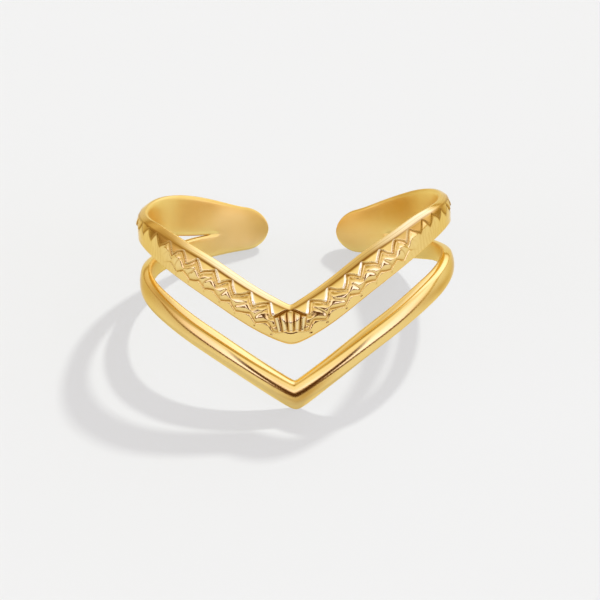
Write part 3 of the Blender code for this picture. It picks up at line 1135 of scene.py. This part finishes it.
@dataclass(frozen=True)
class GoldFinish:
    """Gold whose colour, gloss and grain vary over the metal, with painted shade and painted highlights in
    its colour.
    """

    name: str
    # The colour, then in half and in full painted shade, and with a painted highlight
    colour: tuple[float, float, float]
    shaded_colour: tuple[float, float, float]
    deep_shade_colour: tuple[float, float, float]
    highlight_colour: tuple[float, float, float]
    rim_tint: tuple[float, float, float]
    roughness: float
    roughness_swing: float
    hollow_roughness: float
    cloud_size: float
    cloud_depth: float
    line_size: float
    line_length: float
    line_strength: float
    grain_size: float
    grain_strength: float
    cloud_detail: float = 4.0
    mark_detail: float = 3.0
    # The noise's values at which the clouds begin and end, for the colour and for the gloss
    colour_clouds: tuple[float, float] = (0.35, 0.75)
    gloss_clouds: tuple[float, float] = (0.3, 0.7)

    def tone(self, wiring: Wiring, clouds: Socket, painted_shade: Socket) -> Socket:
        """The colour: painted shade in creases and patches, a little browner in clouds, and painted
        highlights on edges and crests.

        Args:
            wiring: The material's nodes.
            clouds: Noise of the clouds.
            painted_shade: How deep the painted shade is at a place.

        Returns:
            The colour.
        """
        start, end = self.colour_clouds
        inputs = {"Value": clouds, "From Min": start, "From Max": end, "To Max": self.cloud_depth}
        cloud = wiring.node("MapRange", inputs).outputs["Result"]
        tones = (self.colour, self.shaded_colour, self.deep_shade_colour)
        tone = wiring.ramp(wiring.numbers("ADD", painted_shade, cloud), np.linspace(0.0, 1.0, len(tones)), tones)
        return wiring.mixed(wiring.attribute("bright"), tone, (*self.highlight_colour, 1.0))

    def gloss(self, wiring: Wiring, clouds: Socket, painted_shade: Socket) -> Socket:
        """The roughness, which varies with the clouds and grows with the painted shade in creases.

        Args:
            wiring: The material's nodes.
            clouds: Noise of the clouds.
            painted_shade: How deep the painted shade is at a place.

        Returns:
            The roughness.
        """
        start, end = self.gloss_clouds
        level = wiring.node("MapRange", {
            "Value": clouds,
            "From Min": start,
            "From Max": end,
            "To Min": self.roughness - self.roughness_swing,
            "To Max": self.roughness + self.roughness_swing,
        })
        return wiring.numbers("MULTIPLY_ADD", painted_shade, self.hollow_roughness, level.outputs["Result"])

    def marks(self, wiring: Wiring, place: Socket) -> Socket:
        """The polisher's marks, lines of noise drawn out round the finger, and a fine grain over them.

        Args:
            wiring: The material's nodes.
            place: Object coordinates.

        Returns:
            The bent normal.
        """
        along = wiring.numbers("MULTIPLY", wiring.attribute("along"), self.line_size / self.line_length)
        drawn = wiring.node("CombineXYZ", {"X": along, "Y": wiring.attribute("across")}).outputs["Vector"]
        lines = wiring.node("Bump", {
            "Height": wiring.noise(drawn, self.line_size, self.mark_detail),
            "Strength": self.line_strength,
            "Distance": self.line_size,
        })
        grain = wiring.node("Bump", {
            "Height": wiring.noise(place, self.grain_size, self.mark_detail),
            "Strength": self.grain_strength,
            "Distance": self.grain_size,
            "Normal": lines.outputs["Normal"],
        })
        return grain.outputs["Normal"]

    def material(self) -> bpy.types.Material:
        """The finish as a material, with its clouds and grain on Object coordinates.

        Returns:
            The material.
        """
        material = bpy.data.materials.new(self.name)
        material.use_nodes = True
        wiring = Wiring(material.node_tree)
        shader = material.node_tree.nodes["Principled BSDF"]
        shader.inputs["Metallic"].default_value = 1.0
        shader.inputs["Specular Tint"].default_value = (*self.rim_tint, 1.0)
        place = wiring.node("TexCoord", {}).outputs["Object"]
        clouds = wiring.noise(place, self.cloud_size, self.cloud_detail)
        # How deep the painted shade is at each point of the mesh
        painted_shade = wiring.attribute("painted_shade")
        wiring.feed(shader, "Base Color", self.tone(wiring, clouds, painted_shade))
        wiring.feed(shader, "Roughness", self.gloss(wiring, clouds, painted_shade))
        wiring.feed(shader, "Normal", self.marks(wiring, place))
        return material


POLISHED = GoldFinish(
    name="polished_gold",
    colour=(0.94, 0.69, 0.25),
    shaded_colour=(0.62, 0.35, 0.075),
    deep_shade_colour=(0.26, 0.10, 0.01),
    highlight_colour=(1.0, 0.89, 0.60),
    rim_tint=(0.95, 0.82, 0.50),
    roughness=0.09,
    roughness_swing=0.02,
    hollow_roughness=0.15,
    cloud_size=1.4 * MM,
    cloud_depth=0.06,
    line_size=0.05 * MM,
    line_length=8.0 * MM,
    line_strength=0.02,
    grain_size=0.12 * MM,
    grain_strength=0.01,
)

SATIN = GoldFinish(
    name="satin_gold",
    colour=(0.95, 0.72, 0.25),
    shaded_colour=(0.86, 0.585, 0.155),
    deep_shade_colour=(0.72, 0.40, 0.055),
    highlight_colour=(0.95, 0.85, 0.60),
    rim_tint=(0.95, 0.82, 0.50),
    roughness=0.33,
    roughness_swing=0.03,
    hollow_roughness=0.0,
    cloud_size=2.0 * MM,
    cloud_depth=0.2,
    line_size=0.04 * MM,
    line_length=2.5 * MM,
    line_strength=0.008,
    grain_size=0.06 * MM,
    grain_strength=0.008,
)


@dataclass
class Ring:
    """The whole ring as one closed surface."""

    form: RingForm = field(default_factory=RingForm)
    relief: Relief = field(default_factory=Relief)
    fan_reach: float = math.radians(6.75)
    fan_step: float = math.radians(0.125)
    front_reach: float = math.radians(98.0)
    front_step: float = math.radians(0.32)
    back_steps: int = 26
    pad_steps: int = 18
    tip_steps: int = 12
    weld: float = 1e-7
    first_lean: float = 0.4
    rest_rounds: int = 20

    def angles(self) -> Array:
        """Angles of the stations on one side, from the front to the tip.

        They lie closer at the fan, and crowd at the tip as the sine of even turns does.

        Returns:
            Rising angles.
        """
        form = self.form
        fan = np.linspace(0.0, self.fan_reach, round(self.fan_reach / self.fan_step) + 1)
        steps = round((self.front_reach - self.fan_reach) / self.front_step)
        front = np.linspace(self.fan_reach, self.front_reach, steps + 1)
        back = np.linspace(self.front_reach, form.split, self.back_steps + 1)
        start = form.tip - form.pad_tip_radius / form.inner_radius
        pad = np.linspace(form.split, start, self.pad_steps + 1)
        turns = np.linspace(0.0, math.pi / 2.0, self.tip_steps + 1)
        end = start + (form.tip - start) * np.sin(turns)
        return np.concatenate([fan, front[1:], back[1:], pad[1:], end[1:]])

    def strips(self, turn: Array) -> list[Strip]:
        """The four strips of the surface at a column of signed angles."""
        return [
            UpperBand(self.form, self.relief).outer(turn),
            LowerBand(self.form).outer(turn),
            InnerFace(self.form, True).inner(turn),
            InnerFace(self.form, False).inner(turn),
        ]

    def laid(self, points: Array) -> Array:
        """Points laid down on the point of the lower band and on both pads, over the solid's box.

        The floor's plane goes through the lowest point of each of the three, which depend on the plane,
        so it is found again until it stays.

        Args:
            points: All points in the ring's own frame.

        Returns:
            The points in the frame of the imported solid.
        """
        pads = points[:, 1] > 0.0
        groups = (~pads, pads & (points[:, 0] < 0.0), pads & (points[:, 0] > 0.0))
        normal = np.array([0.0, -math.sin(self.first_lean), math.cos(self.first_lean)])
        for _ in range(self.rest_rounds):
            front, left, right = (points[g][np.argmin(points[g] @ normal)] for g in groups)
            normal = np.cross(right - front, left - front)
            normal *= math.copysign(1.0, normal[2]) / np.linalg.norm(normal)
        forward = np.array([0.0, 1.0, 0.0]) - normal * normal[1]
        forward /= np.linalg.norm(forward)
        turned = points @ np.array([np.cross(forward, normal), forward, normal]).T
        low, high = (np.array(corner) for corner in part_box(SOLID))
        found_low, found_high = turned.min(axis=0), turned.max(axis=0)
        shift = (low + high - found_low - found_high) / 2.0
        shift[2] = low[2] - found_low[2]
        return turned + shift

    def quads(self, stations: int, rows: int, face: Face) -> Array:
        """Corners of the faces of a strip, in the order that makes them look its way.

        Args:
            stations: Number of stations round the finger.
            rows: Number of rows across the metal.
            face: Which way the strip looks.

        Returns:
            Four point numbers for each face.
        """
        index = np.arange(stations * rows).reshape(stations, rows)
        here, there = index[:-1], index[1:]
        corners = [here[:, :-1], there[:, :-1], there[:, 1:], here[:, 1:]]
        if face is Face.INWARD:
            corners.reverse()
        return np.stack(corners, axis=-1).reshape(-1, 4)

    def build(self) -> bpy.types.Object:
        """The ring's mesh, welded where its strips meet.

        Returns:
            The object, with the point attributes that its finishes read.
        """
        angle = self.angles()
        turn = np.concatenate([-angle[:0:-1], angle])[:, None]
        points = []
        faces = []
        finish = []
        # Painted shade and painted highlight for the finishes, and places for the polish lines
        marks = {"painted_shade": [], "bright": [], "along": [], "across": []}
        count = 0
        for strip in self.strips(turn):
            points.append(self.form.place(turn, strip.height, strip.radius).reshape(-1, 3))
            faces.append(count + self.quads(*strip.radius.shape, strip.face))
            finish.append(np.full(len(faces[-1]), strip.face.value))
            marks["painted_shade"].append(strip.painted_shade.ravel())
            marks["bright"].append(strip.bright.ravel())
            marks["along"].append(np.broadcast_to(turn * self.form.inner_radius, strip.radius.shape).ravel())
            marks["across"].append(strip.height.ravel())
            count += strip.radius.size
        mesh = bpy.data.meshes.new("ring_surface")
        mesh.from_pydata(self.laid(np.concatenate(points)), [], np.concatenate(faces).tolist())
        mesh.polygons.foreach_set("material_index", np.concatenate(finish))
        for name, values in marks.items():
            attribute = mesh.attributes.new(name, "FLOAT", "POINT")
            attribute.data.foreach_set("value", np.concatenate(values).astype(np.float32))
        self.close(mesh)
        piece = bpy.data.objects.new("ring_surface", mesh)
        bpy.context.scene.collection.objects.link(piece)
        return piece

    def close(self, mesh: bpy.types.Mesh) -> None:
        """Welds the strips along their shared edges and shades the surface.

        Args:
            mesh: The ring's mesh.
        """
        work = bmesh.new()
        work.from_mesh(mesh)
        bmesh.ops.remove_doubles(work, verts=work.verts, dist=self.weld)
        bmesh.ops.dissolve_degenerate(work, dist=self.weld, edges=work.edges)
        work.to_mesh(mesh)
        open_edges = sum(not edge.is_manifold for edge in work.edges)
        LOG.info("ring surface: %d faces, %d open edges", len(work.faces), open_edges)
        work.free()
        mesh.shade_smooth()

    def dress(self, piece: bpy.types.Object) -> None:
        """Gives the outer faces the polished finish and the inner faces the satin one.

        The floor doesn't pick up the ring's golden light, and stays a neutral grey.

        Args:
            piece: The ring.
        """
        piece.data.materials.append(POLISHED.material())
        piece.data.materials.append(SATIN.material())
        piece.visible_diffuse = False
        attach(piece, "root")
        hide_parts(SOLID)


@dataclass(frozen=True)
class PaleFloor:
    """A plain pale floor."""

    half_size: float = 1.5
    colour: tuple[float, float, float] = (0.79, 0.82, 0.78)
    roughness: float = 0.9

    def build(self) -> bpy.types.Object:
        """One square of floor at height 0.

        Returns:
            The floor.
        """
        reach = self.half_size
        corners = [(-reach, -reach, 0.0), (reach, -reach, 0.0), (reach, reach, 0.0), (-reach, reach, 0.0)]
        mesh = bpy.data.meshes.new("pale_floor")
        mesh.from_pydata(corners, [], [(0, 1, 2, 3)])
        material = bpy.data.materials.new("pale_floor")
        material.use_nodes = True
        shader = material.node_tree.nodes["Principled BSDF"]
        shader.inputs["Base Color"].default_value = (*self.colour, 1.0)
        shader.inputs["Roughness"].default_value = self.roughness
        shader.inputs["Specular IOR Level"].default_value = 0.0
        mesh.materials.append(material)
        floor = bpy.data.objects.new("pale_floor", mesh)
        bpy.context.scene.collection.objects.link(floor)
        return floor


def turned_away(toward: Array, spot: Array) -> list[list[float]]:
    """Matrix that stands a camera or lamp upright at a spot and turns it away from a direction.

    Args:
        toward: Unit vector of the direction behind it.
        spot: Where it stands.

    Returns:
        The matrix, by columns.
    """
    side = np.cross(np.array([0.0, 0.0, 1.0]), toward)
    side /= np.linalg.norm(side)
    matrix = np.eye(4)
    matrix[:3, 0] = side
    matrix[:3, 1] = np.cross(toward, side)
    matrix[:3, 2] = toward
    matrix[:3, 3] = spot
    return matrix.T.tolist()


@dataclass(frozen=True)
class PhotoCamera:
    """The camera at the photograph's angle."""

    distance: float = 0.300
    elevation_degrees: float = 30.98
    azimuth_degrees: float = 2.88
    pixels_per_metre: float = 16700.0
    origin_pixel: tuple[float, float] = (294.1, 325.0)
    sensor: float = 36.0
    clip: tuple[float, float] = (0.01, 10.0)

    def axes(self) -> tuple[Array, Array, Array]:
        """Directions from the origin to the camera, to its right and up.

        Returns:
            Three unit vectors.
        """
        up_angle = math.radians(self.elevation_degrees)
        round_angle = math.radians(self.azimuth_degrees)
        right = np.array([math.cos(round_angle), math.sin(round_angle), 0.0])
        flat = np.array([math.sin(round_angle), -math.cos(round_angle), 0.0])
        back = flat * math.cos(up_angle) + np.array([0.0, 0.0, math.sin(up_angle)])
        return back, right, np.cross(back, right)

    def build(self) -> bpy.types.Object:
        """The camera, aimed beside the origin so that the ring stands where the photograph has it.

        Returns:
            The camera.
        """
        back, right, up = self.axes()
        centre = PHOTO_SIDE / 2.0
        aside = (centre - self.origin_pixel[0]) / self.pixels_per_metre
        above = (self.origin_pixel[1] - centre) / self.pixels_per_metre
        spot = back * self.distance
        toward = spot - (right * aside + up * above)
        data = bpy.data.cameras.new("photo_camera")
        data.sensor_width = self.sensor
        data.lens = self.pixels_per_metre * self.distance * self.sensor / PHOTO_SIDE
        data.clip_start, data.clip_end = self.clip
        camera = bpy.data.objects.new("photo_camera", data)
        camera.matrix_world = turned_away(toward / np.linalg.norm(toward), spot)
        bpy.context.scene.collection.objects.link(camera)
        bpy.context.scene.camera = camera
        return camera


@dataclass(frozen=True)
class Glow:
    """A soft bright patch of the room, placed by its turn from the camera toward the camera's right."""

    turn_degrees: float
    elevation_degrees: float
    reach_degrees: float
    core_degrees: float
    colour: tuple[float, float, float]


@dataclass(frozen=True)
class Studio:
    """The room's soft light and the lamp behind the ring."""

    camera: PhotoCamera
    lamp_turn_degrees: float = 149.0
    lamp_elevation_degrees: float = 37.8
    lamp_strength: float = 1.1
    lamp_angle_degrees: float = 4.0
    room_strength: float = 2.06
    # Elevation in degrees, and the room's colour there: first all round, then behind the camera
    room_steps: Rows = (
        (0.0, 0.34, 0.27, 0.14),
        (3.0, 0.34, 0.27, 0.14),
        (6.0, 0.58, 0.58, 0.68),
        (16.0, 0.65, 0.67, 0.86),
        (26.0, 0.53, 0.53, 0.58),
        (52.0, 0.51, 0.50, 0.49),
        (66.0, 0.36, 0.31, 0.20),
        (90.0, 0.25, 0.18, 0.08),
    )
    front_steps: Rows = (
        (0.0, 0.09, 0.04, 0.008),
        (5.2, 0.09, 0.04, 0.008),
        (7.5, 0.77, 0.78, 1.34),
        (20.0, 0.72, 0.73, 1.22),
        (30.0, 0.54, 0.54, 0.60),
        (52.0, 0.52, 0.51, 0.50),
        (66.0, 0.36, 0.31, 0.20),
        (90.0, 0.25, 0.18, 0.08),
    )
    # Cosine from the camera's direction at which the second colours begin, and at which they are full
    front_from: float = -0.3
    front_to: float = 0.3
    # A dark beam behind the camera: its elevation at the middle, and its tint there
    beam_steps: Rows = (
        (3.5, 1.00, 1.00, 1.00),
        (4.5, 0.60, 0.48, 0.27),
        (5.5, 0.07, 0.03, 0.006),
        (15.0, 0.07, 0.03, 0.006),
        (17.5, 0.60, 0.48, 0.27),
        (20.0, 1.00, 1.00, 1.00),
    )
    beam_lift: float = 0.8
    beam_from: float = 0.6
    beam_to: float = 0.85
    glows: tuple[Glow, ...] = (
        Glow(156.0, 36.0, 38.0, 12.0, (0.15, 0.21, 0.48)),
    )
    # How far toward the bright side of the room, from -1 to 1, and the room's tint there
    bright_side_degrees: float = 48.0
    side_steps: Rows = (
        (-1.0, 0.68, 0.60, 0.43),
        (-0.6, 0.89, 0.85, 0.75),
        (-0.1, 0.97, 0.96, 0.94),
        (1.0, 1.00, 1.00, 1.00),
    )

    def direction(self, turn_degrees: float, elevation_degrees: float) -> Array:
        """Direction at a turn from the camera toward its right, and at an elevation.

        Args:
            turn_degrees: The turn, 0 toward the camera and 180 away from it.
            elevation_degrees: The elevation.

        Returns:
            The unit vector.
        """
        _, right, _ = self.camera.axes()
        front = np.array([right[1], -right[0], 0.0])
        turn = math.radians(turn_degrees)
        rise = math.radians(elevation_degrees)
        flat = front * math.cos(turn) + right * math.sin(turn)
        return flat * math.cos(rise) + np.array([0.0, 0.0, math.sin(rise)])

    def nearness(self, wiring: Wiring, source: Socket, toward: Array, low: float, high: float) -> Socket:
        """How near a direction is to another one, smoothly from 0 to 1.

        Args:
            wiring: The world's nodes.
            source: The direction looked at.
            toward: The other direction.
            low: Cosine between them at which the share leaves 0.
            high: Cosine at which it reaches 1.

        Returns:
            The share.
        """
        cosine = wiring.vectors("DOT_PRODUCT", source, tuple(toward))
        inputs = {"Value": cosine, "From Min": low, "From Max": high}
        return wiring.node("MapRange", inputs, interpolation_type="SMOOTHSTEP").outputs["Result"]

    def by_elevation(self, wiring: Wiring, rise: Socket, steps: Rows) -> Socket:
        """The colour at the sine of an elevation, from rows of an elevation in degrees and a colour."""
        rows = np.array(steps)
        return wiring.ramp(rise, np.sin(np.radians(rows[:, 0])), rows[:, 1:])

    def walls(self, wiring: Wiring, flat: Socket, rise: Socket) -> Socket:
        """The room's colour by elevation, which is another one behind the camera.

        Args:
            wiring: The world's nodes.
            flat: Level part of the direction looked at, as a unit vector.
            rise: Sine of its elevation.

        Returns:
            The colour.
        """
        near = self.nearness(wiring, flat, self.direction(0.0, 0.0), self.front_from, self.front_to)
        all_round = self.by_elevation(wiring, rise, self.room_steps)
        return wiring.mixed(near, all_round, self.by_elevation(wiring, rise, self.front_steps))

    def beam(self, wiring: Wiring, flat: Socket, rise: Socket) -> Socket:
        """Tint of the dark beam behind the camera, which rises toward its ends.

        Args:
            wiring: The world's nodes.
            flat: Level part of the direction looked at, as a unit vector.
            rise: Sine of its elevation.

        Returns:
            The tint, white away from the beam.
        """
        front = self.direction(0.0, 0.0)
        middle = wiring.vectors("DOT_PRODUCT", flat, tuple(front))
        lifted = wiring.numbers("MULTIPLY_ADD", middle, self.beam_lift, rise)
        lowered = wiring.numbers("SUBTRACT", lifted, self.beam_lift)
        close = self.nearness(wiring, flat, front, self.beam_from, self.beam_to)
        return wiring.mixed(close, WHITE, self.by_elevation(wiring, lowered, self.beam_steps))

    def tint(self, wiring: Wiring, flat: Socket) -> Socket:
        """Tint of the room, deeper away from its bright side.

        Args:
            wiring: The world's nodes.
            flat: Level part of the direction looked at, as a unit vector.

        Returns:
            The tint.
        """
        sides = np.array(self.side_steps)
        bright_side = tuple(self.direction(self.bright_side_degrees, 0.0))
        inputs = {"Value": wiring.vectors("DOT_PRODUCT", flat, bright_side), "From Min": -1.0}
        share = wiring.node("MapRange", inputs).outputs["Result"]
        return wiring.ramp(share, 0.5 + 0.5 * sides[:, 0], sides[:, 1:])

    def shine(self, wiring: Wiring, place: Socket, glow: Glow) -> Socket:
        """Light of one glow.

        Args:
            wiring: The world's nodes.
            place: The direction looked at.
            glow: The glow.

        Returns:
            The colour.
        """
        toward = self.direction(glow.turn_degrees, glow.elevation_degrees)
        low = math.cos(math.radians(glow.reach_degrees))
        high = math.cos(math.radians(glow.core_degrees))
        return wiring.vectors("MULTIPLY", self.nearness(wiring, place, toward, low, high), glow.colour)

    def room(self) -> bpy.types.World:
        """The world: colours by elevation, a beam behind the camera, a tint by the side, and the glows.

        Returns:
            The world.
        """
        world = bpy.data.worlds.new("studio_room")
        world.use_nodes = True
        wiring = Wiring(world.node_tree)
        place = wiring.node("TexCoord", {}).outputs["Generated"]
        rise = wiring.node("SeparateXYZ", {"Vector": place}).outputs["Z"]
        flat = wiring.vectors("NORMALIZE", wiring.vectors("MULTIPLY", place, (1.0, 1.0, 0.0)))
        shown = wiring.vectors("MULTIPLY", self.walls(wiring, flat, rise), self.beam(wiring, flat, rise))
        shown = wiring.vectors("MULTIPLY", shown, self.tint(wiring, flat))
        for glow in self.glows:
            shown = wiring.vectors("ADD", shown, self.shine(wiring, place, glow))
        background = world.node_tree.nodes["Background"]
        background.inputs["Strength"].default_value = self.room_strength
        wiring.feed(background, "Color", shown)
        bpy.context.scene.world = world
        return world

    def lamp(self) -> bpy.types.Object:
        """The lamp, whose shadows fall toward the viewer's left.

        The gold doesn't show it, and shows the glow in the room instead.

        Returns:
            The lamp.
        """
        toward = self.direction(self.lamp_turn_degrees, self.lamp_elevation_degrees)
        data = bpy.data.lights.new("back_lamp", "SUN")
        data.energy = self.lamp_strength
        data.angle = math.radians(self.lamp_angle_degrees)
        lamp = bpy.data.objects.new("back_lamp", data)
        lamp.matrix_world = turned_away(toward, toward)
        lamp.visible_glossy = False
        bpy.context.scene.collection.objects.link(lamp)
        return lamp

    def build(self) -> None:
        """Sets the room and the lamp, and shows colours as they are."""
        self.room()
        self.lamp()
        bpy.context.scene.view_settings.view_transform = "Standard"


def main() -> None:
    """Builds the camera, the light, the floor and the ring."""
    logging.basicConfig(level=logging.INFO, format="%(message)s")
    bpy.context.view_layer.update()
    camera = PhotoCamera()
    camera.build()
    LOG.info("camera: %.1f mm from the ring", camera.distance / MM)
    Studio(camera).build()
    LOG.info("studio: room and back lamp")
    PaleFloor().build()
    LOG.info("floor: pale")
    ring = Ring()
    piece = ring.build()
    ring.dress(piece)
    LOG.info("ring: %d vertices", len(piece.data.vertices))


if __name__ == "__main__":
    main()
